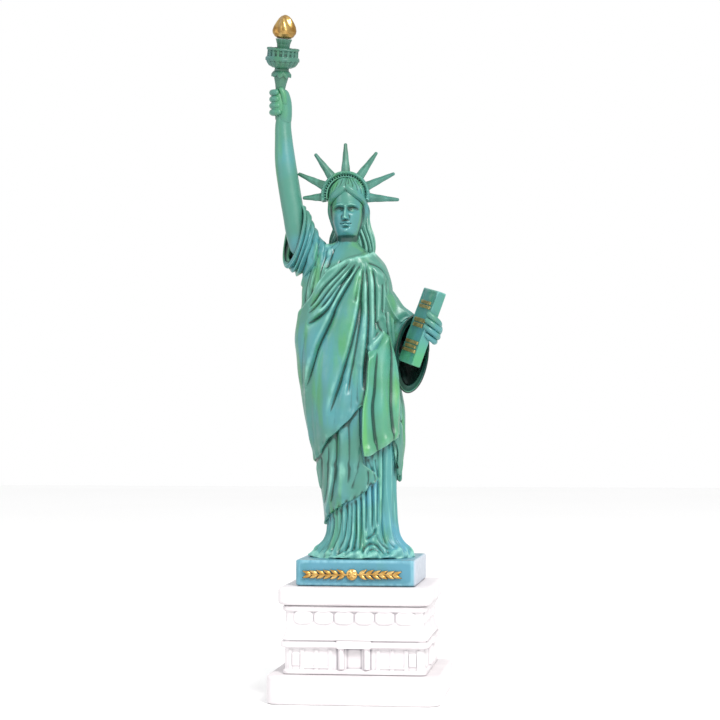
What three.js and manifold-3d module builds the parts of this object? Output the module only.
// A souvenir model of a robed lady who lifts a torch, standing on a square white pedestal.
// Millimetres, +Z up. The origin is the centre of the pedestal's underside, and the lady faces -Y.
// It is a kit of resin castings, pinned together and drawn down onto the pedestal by one steel rod.
import * as THREE from "three";
import { mergeVertices } from "three/addons/utils/BufferGeometryUtils.js";
import Module from "manifold-3d";

const wasm = await Module();
wasm.setup();

// ---------- driving dimensions ----------
const GAP = 0.3; // room left between two castings that meet
const BASE = 76; // width of the pedestal's footing
const FOOTING_TOP = 12.5;
const TRUNK_TOP = 42.2;
const CAP_TOP = 50.3;
const PLINTH_TOP = 61.8;
const TRUNK = 60; // width of the pedestal's two storeys
const CAP = 67;
const PLINTH = 53;
const FELT = 1;
const ROD_RADIUS = 2;
const ROD_TOP = 84;
const HEAD_X = -6.6; // the lady's head stands left of the pedestal's axis
const CROWN = { x: HEAD_X - 0.9, y: -1, z: 224.1, lean: 6, rim: 11 };
const RAY_TIP = 24.4;
const SHORT_RAY_TIP = 19.6; // the ray that points at the raised arm stops short of it
const RAY_ANGLES = [-5, 24.5, 55, 91, 126, 154, 182];
const TORCH = { x: -37.4, y: -3.2, z: 268, forward: 12, sideways: 6 };
const TABLET = { x: 28, y: -12, z: 164, wide: 17, thick: 4.2, long: 34.5, lean: 20, turn: -61 };
const GILT_BARS = [
  { height: 10, wide: 12, tall: 3.4 },
  { height: 1.6, wide: 12, tall: 4.2 },
  { height: -9.4, wide: 14, tall: 5.4 },
];

const degrees = THREE.MathUtils.degToRad;

// ---------- materials ----------
function paint(color, roughness, metalness = 0) {
  return new THREE.MeshStandardMaterial({ color, roughness, metalness });
}
const patina = paint(0x5f9f93, 0.5);
const patinaLight = paint(0x6bb0b5, 0.5);
const gilt = paint(0xd8a83c, 0.3, 0.9);
const whiteResin = paint(0xf1eeee, 0.6);
const steel = paint(0x9a9da0, 0.35, 1);
const blackFelt = paint(0x1c1c1e, 1);

// ---------- joining and cutting ----------
function solidOf(geometry, matrix = new THREE.Matrix4()) {
  const bare = geometry.clone();
  bare.deleteAttribute("normal");
  bare.deleteAttribute("uv");
  const merged = mergeVertices(bare.applyMatrix4(matrix), 1e-4);
  return new wasm.Manifold(
    new wasm.Mesh({
      numProp: 3,
      vertProperties: new Float32Array(merged.attributes.position.array),
      triVerts: new Uint32Array(merged.index.array),
    }),
  );
}

function geometryOf(solid) {
  const mesh = solid.getMesh();
  return new THREE.BufferGeometry()
    .setAttribute("position", new THREE.BufferAttribute(mesh.vertProperties, 3))
    .setIndex(new THREE.BufferAttribute(mesh.triVerts, 1));
}

function joined(first, ...others) {
  return geometryOf(others.reduce((sum, next) => sum.add(solidOf(next)), solidOf(first)));
}

function lessened(first, ...others) {
  return geometryOf(others.reduce((rest, next) => rest.subtract(solidOf(next)), solidOf(first)));
}

// The same surface, moved outwards along its normals: the shape of the socket a piece sits in.
function fattened(geometry, by = GAP + 0.1) {
  const bare = geometry.clone();
  bare.deleteAttribute("normal");
  bare.deleteAttribute("uv");
  const merged = mergeVertices(bare, 1e-4);
  merged.computeVertexNormals();
  const place = merged.attributes.position;
  const normal = merged.attributes.normal;
  for (let i = 0; i < place.count; i += 1) {
    place.setXYZ(
      i,
      place.getX(i) + by * normal.getX(i),
      place.getY(i) + by * normal.getY(i),
      place.getZ(i) + by * normal.getZ(i),
    );
  }
  return merged;
}

// Takes a piece's socket out of the casting that it sits in, wherever the two are in the tree.
function seat(piece, casting) {
  model.updateMatrixWorld(true);
  const across = casting.matrixWorld.clone().invert().multiply(piece.matrixWorld);
  const socket = solidOf(fattened(piece.geometry), across);
  const left = solidOf(casting.geometry).subtract(socket).decompose();
  left.sort((one, other) => other.volume() - one.volume());
  casting.geometry = geometryOf(left[0]); // any crumb that the cut leaves is dropped
}

// ---------- shapes ----------
function roundedSquare(width, radius) {
  const half = width / 2 - radius;
  const corners = [[half, half, 0], [-half, half, 1], [-half, -half, 2], [half, -half, 3]];
  const shape = new THREE.Shape();
  for (const [x, y, quarter] of corners) {
    shape.absarc(x, y, radius, (quarter * Math.PI) / 2, ((quarter + 1) * Math.PI) / 2);
  }
  return shape;
}

// A square slab with round corners and softened edges, standing between two heights.
function slab(width, radius, low, high, soft) {
  return new THREE.ExtrudeGeometry(roundedSquare(width - 2 * soft, radius - soft), {
    depth: high - low - 2 * soft,
    bevelThickness: soft,
    bevelSize: soft,
    bevelSegments: 1,
    curveSegments: 3,
  }).translate(0, 0, low + soft);
}

// A moulding carried round a square: each profile point is a half width and a height.
function squareTurned(profile) {
  const points = profile.map(([half, z]) => new THREE.Vector2(half * Math.SQRT2, z));
  return new THREE.LatheGeometry(points, 4).rotateY(Math.PI / 4).rotateX(Math.PI / 2);
}

function turned(profile, segments = 20) {
  const points = profile.map(([radius, z]) => new THREE.Vector2(radius, z));
  return new THREE.LatheGeometry(points, segments).rotateX(Math.PI / 2);
}

function rod(radius, low, high, segments = 16) {
  return turned([[0, low], [radius, low], [radius, high], [0, high]], segments);
}

function block(x, y, z, width, depth, height) {
  return new THREE.BoxGeometry(width, depth, height).translate(x, y, z);
}

// A closed skin over a row of stations, each [x, y, z, half width, half depth].
// Level rings stay horizontal, others stand square to the path. folds(angle, t) swells the ring.
function lofted(stations, { rows, columns, level = false, folds = () => 1 }) {
  const path = new THREE.CatmullRomCurve3(stations.map(([x, y, z]) => new THREE.Vector3(x, y, z)));
  const sizes = new THREE.CatmullRomCurve3(
    stations.map(([, , , wide, deep]) => new THREE.Vector3(wide, deep, 0)),
  );
  const ladder = [new THREE.Vector2(0, 0)];
  for (let row = 0; row <= rows; row += 1) ladder.push(new THREE.Vector2(1, row / rows));
  ladder.push(new THREE.Vector2(0, 1));
  const skin = new THREE.LatheGeometry(ladder, columns);
  const place = skin.attributes.position;
  const back = new THREE.Vector3(0, 1, 0);
  for (let i = 0; i < place.count; i += 1) {
    const t = Math.min(1, Math.max(0, place.getY(i)));
    const cosine = place.getX(i);
    const sine = -place.getZ(i);
    const size = sizes.getPoint(t);
    const axis = level ? new THREE.Vector3(0, 0, 1) : path.getTangent(t);
    const across = new THREE.Vector3().crossVectors(back, axis).normalize();
    const deep = new THREE.Vector3().crossVectors(axis, across);
    const swell = folds(Math.atan2(sine, cosine), t);
    const point = path
      .getPoint(t)
      .addScaledVector(across, cosine * size.x * swell)
      .addScaledVector(deep, sine * size.y * swell);
    place.setXYZ(i, point.x, point.y, point.z);
  }
  return skin;
}

const model = new THREE.Group();

function part(name, geometry, material, parent = model) {
  const mesh = new THREE.Mesh(geometry, material);
  mesh.name = name;
  parent.add(mesh);
  return mesh;
}

// ---------- pedestal ----------
const WALL = TRUNK / 2;
const CLEAR_BORE = rod(ROD_RADIUS + GAP, -1, 62, 16);

function footingShape() {
  const recess = slab(BASE - 8, 4, -2, FELT + GAP, 0.4);
  const nutPocket = rod(7.5, 0, 8.5, 20);
  return lessened(slab(BASE, 6, 0, FOOTING_TOP, 1), recess, nutPocket, CLEAR_BORE);
}

// One bay of the trunk as the front sees it: a portico with a door, windows and a row of roundels.
function storeyFront() {
  const bay = [];
  for (const side of [-1, 1]) {
    bay.push(block(side * 5.4, -WALL - 0.7, 20.4, 2, 3, 15));
    bay.push(block(side * 16.5, -WALL - 0.2, 23.2, 13.5, 1.6, 1));
    for (const pier of [10.6, 22.4]) {
      bay.push(block(side * pier, -WALL - 0.1, 18.4, 1.5, 1.4, 10.6));
    }
  }
  bay.push(block(0, -WALL - 1, 29, 14, 3.4, 2.6));
  for (let column = -3; column <= 3; column += 1) {
    const roundel = new THREE.CylinderGeometry(3.5, 3.5, 2, 10).scale(1, 1, 0.62);
    bay.push(roundel.translate(column * 7.8, -WALL - 0.1, 36.8));
  }
  return bay;
}

function trunkShape() {
  const core = squareTurned([
    [0, FOOTING_TOP + GAP],
    [WALL, FOOTING_TOP + GAP],
    [WALL, 24.8],
    [WALL + 2.4, 25.2],
    [WALL + 2.4, 27.3],
    [WALL + 0.9, 29.6],
    [WALL, 33.6],
    [WALL, 39],
    [WALL + 1.4, 40],
    [WALL + 1.4, TRUNK_TOP],
    [0, TRUNK_TOP],
  ]);
  const reliefs = [0, 1, 2, 3].flatMap((face) =>
    storeyFront().map((shape) => shape.rotateZ((face * Math.PI) / 2)),
  );
  return lessened(joined(core, ...reliefs), CLEAR_BORE);
}

function addPedestal() {
  const pedestal = new THREE.Group();
  model.add(pedestal);
  part("felt_pad", slab(BASE - 9.2, 3.5, 0, FELT, 0.3), blackFelt, pedestal);
  part("pedestal_footing", footingShape(), whiteResin, pedestal);
  part("pedestal_trunk", trunkShape(), whiteResin, pedestal);
  const cap = slab(CAP, 4, TRUNK_TOP + GAP, CAP_TOP, 1.4);
  part("pedestal_cap", lessened(cap, CLEAR_BORE), whiteResin, pedestal);
}

// ---------- fixings hidden inside ----------
function addFixings() {
  part("tie_rod", rod(ROD_RADIUS, 1.5, ROD_TOP), steel);
  const washer = lessened(rod(6.5, 7.2, 8.2, 20), CLEAR_BORE);
  part("tie_washer", washer, steel);
  part("tie_nut", lessened(rod(4, 3.6, 6.9, 6), CLEAR_BORE), steel);
  const dowels = {
    neck_dowel: [[HEAD_X, 1, 181], [HEAD_X, 0.9, 197], 1],
    raised_arm_dowel: [[-15, 2, 182], [-26.5, 1.3, 197], 1],
    tablet_arm_dowel: [[1, 1, 180], [13, 2, 176], 1],
  };
  for (const [name, [low, high, radius]] of Object.entries(dowels)) {
    const from = new THREE.Vector3(...low);
    const along = new THREE.Vector3(...high).sub(from);
    const dowel = part(name, rod(radius, 0, along.length(), 10), steel);
    dowel.position.copy(from);
    dowel.quaternion.setFromUnitVectors(new THREE.Vector3(0, 0, 1), along.normalize());
  }
}

// ---------- the figure's plinth and its gilt laurel ----------
function laurelShape() {
  const leaves = [new THREE.CylinderGeometry(2.6, 2.6, 1, 16)];
  const outline = new THREE.Shape();
  outline.moveTo(0, 0);
  outline.quadraticCurveTo(1.6, 1.7, 4.6, 0);
  outline.quadraticCurveTo(1.6, -1.7, 0, 0);
  for (const side of [-1, 1]) {
    leaves.push(block(side * 10.5, 0, 0, 19, 1, 0.7));
    for (let pair = 0; pair < 5; pair += 1) {
      for (const rise of [-1, 1]) {
        const leaf = new THREE.ExtrudeGeometry(outline, {
          depth: 1,
          bevelEnabled: false,
          curveSegments: 4,
        });
        leaf.translate(0, 0, -0.5).rotateZ(degrees(33 * rise)).rotateX(Math.PI / 2);
        if (side < 0) leaf.rotateZ(Math.PI);
        leaves.push(leaf.translate(side * (2 + pair * 3.5), 0, 0));
      }
    }
  }
  return joined(...leaves);
}

function addPlinth() {
  const bottom = CAP_TOP + GAP;
  const stone = slab(PLINTH, 2.2, bottom, PLINTH_TOP, 0.6);
  part("figure_plinth", lessened(stone, CLEAR_BORE), patinaLight);
  const laurel = part("plinth_laurel", laurelShape(), gilt);
  laurel.position.set(-1.3, -PLINTH / 2 - GAP - 0.5, (bottom + PLINTH_TOP) / 2 - 0.6);
}

// ---------- the draped body ----------
const BODY_STATIONS = [
  [0, 0, PLINTH_TOP + GAP, 24.5, 20],
  [0.8, 0, 66, 22, 18.5],
  [0, 0, 72, 17.6, 16],
  [-0.8, 0, 80, 17.2, 15.8],
  [-1.6, 0.3, 92, 19.4, 16.4],
  [-2.6, 0.5, 106, 21.8, 17.4],
  [-3, 0.5, 120, 22.4, 17.8],
  [-5, 0.5, 135, 22.9, 17.6],
  [-6.2, 0.3, 150, 23.2, 17],
  [-7.2, 0, 163, 22.6, 15.8],
  [-7.2, -0.3, 175, 20.9, 14.6],
  [-7, -0.2, 185, 20.3, 13.4],
  [-7.2, 0.3, 192, 17.8, 11.6],
  [-6.9, 0.8, 198, 12.5, 9],
  [HEAD_X, 1, 201.5, 7, 6.5],
];

// Pleats are sharp at the hem and fade out towards the shoulders.
function pleats(angle, t) {
  const depth = 0.05 * (1 - t) ** 2 + 0.012;
  return 1 + depth * Math.cos(14 * angle + 5 * t);
}

function addBody() {
  const shape = lofted(BODY_STATIONS, { rows: 26, columns: 40, level: true, folds: pleats });
  return part("draped_body", shape, patina);
}

// ---------- head and crown ----------
function headShape() {
  const face = lofted(
    [
      [HEAD_X, 1, 190, 4.4, 4.4],
      [HEAD_X, 0.8, 197, 4.9, 5],
      [HEAD_X, 0.6, 203, 5.1, 5.6],
      [HEAD_X, -0.6, 207, 5.9, 7.6],
      [HEAD_X, -1, 212, 7.9, 9.4],
      [HEAD_X, -1, 218, 8.9, 10.2],
      [HEAD_X, -0.4, 225, 9.2, 10.4],
      [HEAD_X, 0.6, 230.5, 7.2, 8.4],
      [HEAD_X, 1, 233.2, 3.4, 4],
    ],
    { rows: 14, columns: 22, level: true },
  );
  const nape = new THREE.SphereGeometry(1, 16, 10).rotateX(Math.PI / 2).scale(9.4, 5.4, 13);
  return joined(face, nape.translate(HEAD_X, 6.4, 209));
}

function diademShape() {
  const { rim } = CROWN;
  const ring = new THREE.LatheGeometry(
    [[rim - 2.3, -2], [rim, -1.2], [rim, 1], [rim - 1, 1.6], [rim - 2.3, 1.2], [rim - 2.3, -2]].map(
      ([radius, along]) => new THREE.Vector2(radius, along),
    ),
    32,
  );
  return lessened(ring, block(0, 0, -rim - 2.4, 3 * rim, 3 * rim, 2 * rim + 2));
}

function rayShape(tip) {
  const root = CROWN.rim - 0.7;
  const length = tip - root;
  return new THREE.CylinderGeometry(0.35, 2, length, 4)
    .scale(1, 1, 0.55)
    .rotateZ(-Math.PI / 2)
    .translate(root + length / 2, 0, 0)
    .rotateX(Math.PI / 2);
}

function addHead(body) {
  const head = part("head", headShape(), patina);
  const crown = new THREE.Group();
  crown.position.set(CROWN.x, CROWN.y, CROWN.z);
  crown.rotation.x = -degrees(CROWN.lean);
  model.add(crown);
  const diadem = part("crown_diadem", diademShape(), patina, crown);
  seat(diadem, head);
  RAY_ANGLES.forEach((angle, index) => {
    const tip = index === RAY_ANGLES.length - 1 ? SHORT_RAY_TIP : RAY_TIP;
    const ray = part(`crown_ray_${index + 1}`, rayShape(tip), patina, crown);
    ray.rotation.y = -degrees(angle);
    seat(ray, diadem);
    seat(ray, head);
  });
  seat(head, body);
  return head;
}

// ---------- raised arm and torch ----------
function addRaisedArm(body) {
  const sleeveShape = lofted(
    [
      [-16, 1.5, 184, 7, 8.5],
      [-21, 1.4, 190.5, 8.8, 9.4],
      [-26.5, 1.2, 198, 9.4, 9.4],
      [-29.6, 0.8, 206, 7.9, 8],
      [-29.6, 0.5, 213, 6.7, 6.9],
      [-30.6, 0.3, 218, 5.9, 6.1],
    ],
    { rows: 12, columns: 22, folds: (angle, t) => 1 + 0.03 * Math.cos(7 * angle + 6 * t) },
  );
  const sleeve = part("raised_sleeve", sleeveShape, patina);
  const armShape = lofted(
    [
      [-26.6, 1.4, 196, 4.6, 4.6],
      [-29.6, 0.8, 206, 4.9, 5],
      [-31.6, 0.2, 217, 4.9, 5],
      [-33.2, -0.3, 228, 4.8, 4.9],
      [-34.7, -0.9, 240, 4.3, 4.5],
      [-35.6, -1.4, 251, 3.8, 3.7],
      [-36, -1.9, 259, 3.7, 3.2],
      [-36.8, -2.6, 264.5, 4.8, 5],
      [-37.4, -3, 269, 5, 5.4],
      [-37.5, -3.2, 273, 4, 4.6],
    ],
    { rows: 18, columns: 16 },
  );
  const arm = part("raised_arm", armShape, patina);
  seat(arm, sleeve);
  seat(sleeve, body);
  return { arm, sleeve };
}

function addTorch(arm) {
  const torch = new THREE.Group();
  torch.position.set(TORCH.x, TORCH.y, TORCH.z);
  torch.rotation.set(degrees(TORCH.forward), degrees(TORCH.sideways), 0);
  model.add(torch);
  const handle = turned(
    [[0, -9.5], [1.2, -9.2], [1.9, -6], [2.4, 0], [3, 6], [3.6, 10], [3.9, 11.6], [0, 11.6]],
    16,
  );
  const collar = turned(
    [[0, 11.9], [4.4, 11.9], [5.1, 12.4], [5.1, 13.2], [4.5, 13.8], [0, 13.8]],
  );
  const gallery = turned(
    [
      [0, 14.1], [4.7, 14.1], [6, 15], [7.3, 16.8], [7.6, 18.2], [7.6, 19.6], [7.2, 20],
      [7.2, 22.3], [7.5, 22.7], [7.2, 23.2], [6.6, 23.2], [6.4, 22.8], [6.4, 20.4], [0, 20.4],
    ],
    24,
  );
  const cup = turned(
    [[0, 20.7], [3.9, 20.7], [3.2, 21.8], [3, 23.6], [3.6, 25.4], [4, 26.8], [3.4, 27.2], [0, 27.2]],
    16,
  );
  const flame = turned(
    [
      [0, 27.5], [3.3, 27.5], [4.8, 28.8], [5.2, 30.4], [4.8, 32.4], [3.9, 34.4], [2.7, 36.4],
      [1.5, 37.6], [0, 38],
    ],
    16,
  );
  const grip = part("torch_handle", handle, patina, torch);
  part("torch_collar", collar, patina, torch);
  part("torch_gallery", gallery, patina, torch);
  part("torch_cup", cup, patina, torch);
  part("torch_flame", flame, gilt, torch);
  seat(grip, arm);
}

// ---------- arm that carries the tablet ----------
function tabletShape() {
  const { wide, thick, long } = TABLET;
  return block(0, 0, 0, wide, thick, long);
}

function addTabletArm(body) {
  const sleeveShape = lofted(
    [
      [5, 1.6, 189, 6.6, 8],
      [9, 1.8, 183, 7.6, 8.8],
      [14, 2.4, 174, 8, 9.2],
      [18.5, 3, 164, 8.6, 9.8],
      [21.5, 2.4, 153, 8.4, 9.6],
      [22.4, 1, 144, 6.6, 8],
      [22, 0, 137, 3, 4],
    ],
    { rows: 13, columns: 22, folds: (angle, t) => 1 + 0.03 * Math.cos(8 * angle + 4 * t) },
  );
  const sleeve = part("tablet_sleeve", sleeveShape, patina);
  const armShape = lofted(
    [
      [22, 4, 161, 3.8, 4],
      [27, 0, 161.6, 4, 4.2],
      [31.4, -5, 162.6, 3.6, 3.6],
      [34.4, -9.6, 163.6, 3.6, 4.4],
      [35.6, -14, 164.4, 3.4, 5],
      [35, -17.6, 165, 2.4, 4],
    ],
    { rows: 12, columns: 16 },
  );
  const arm = part("tablet_arm", armShape, patina);
  const stone = new THREE.Group();
  stone.position.set(TABLET.x, TABLET.y, TABLET.z);
  stone.rotation.set(0, degrees(TABLET.lean), degrees(TABLET.turn));
  model.add(stone);
  const tablet = part("tablet", tabletShape(), patinaLight, stone);
  GILT_BARS.forEach(({ height, wide, tall }, row) => {
    const bar = block(0, -TABLET.thick / 2 + 0.1, height, wide, 1, tall);
    seat(part(`tablet_gilt_bar_${row + 1}`, bar, gilt, stone), tablet);
  });
  seat(tablet, arm);
  seat(tablet, sleeve);
  seat(arm, sleeve);
  seat(tablet, body);
  seat(sleeve, body);
  return sleeve;
}

// ---------- assembly ----------
addPedestal();
addPlinth();
const body = addBody();
const head = addHead(body);
const raised = addRaisedArm(body);
addTorch(raised.arm);
const tabletSleeve = addTabletArm(body);
addFixings();

const holders = {
  tie_rod: [body],
  neck_dowel: [body, head],
  raised_arm_dowel: [body, raised.sleeve, raised.arm],
  tablet_arm_dowel: [body, tabletSleeve],
};
for (const [name, castings] of Object.entries(holders)) {
  for (const casting of castings) seat(model.getObjectByName(name), casting);
}

export default model;
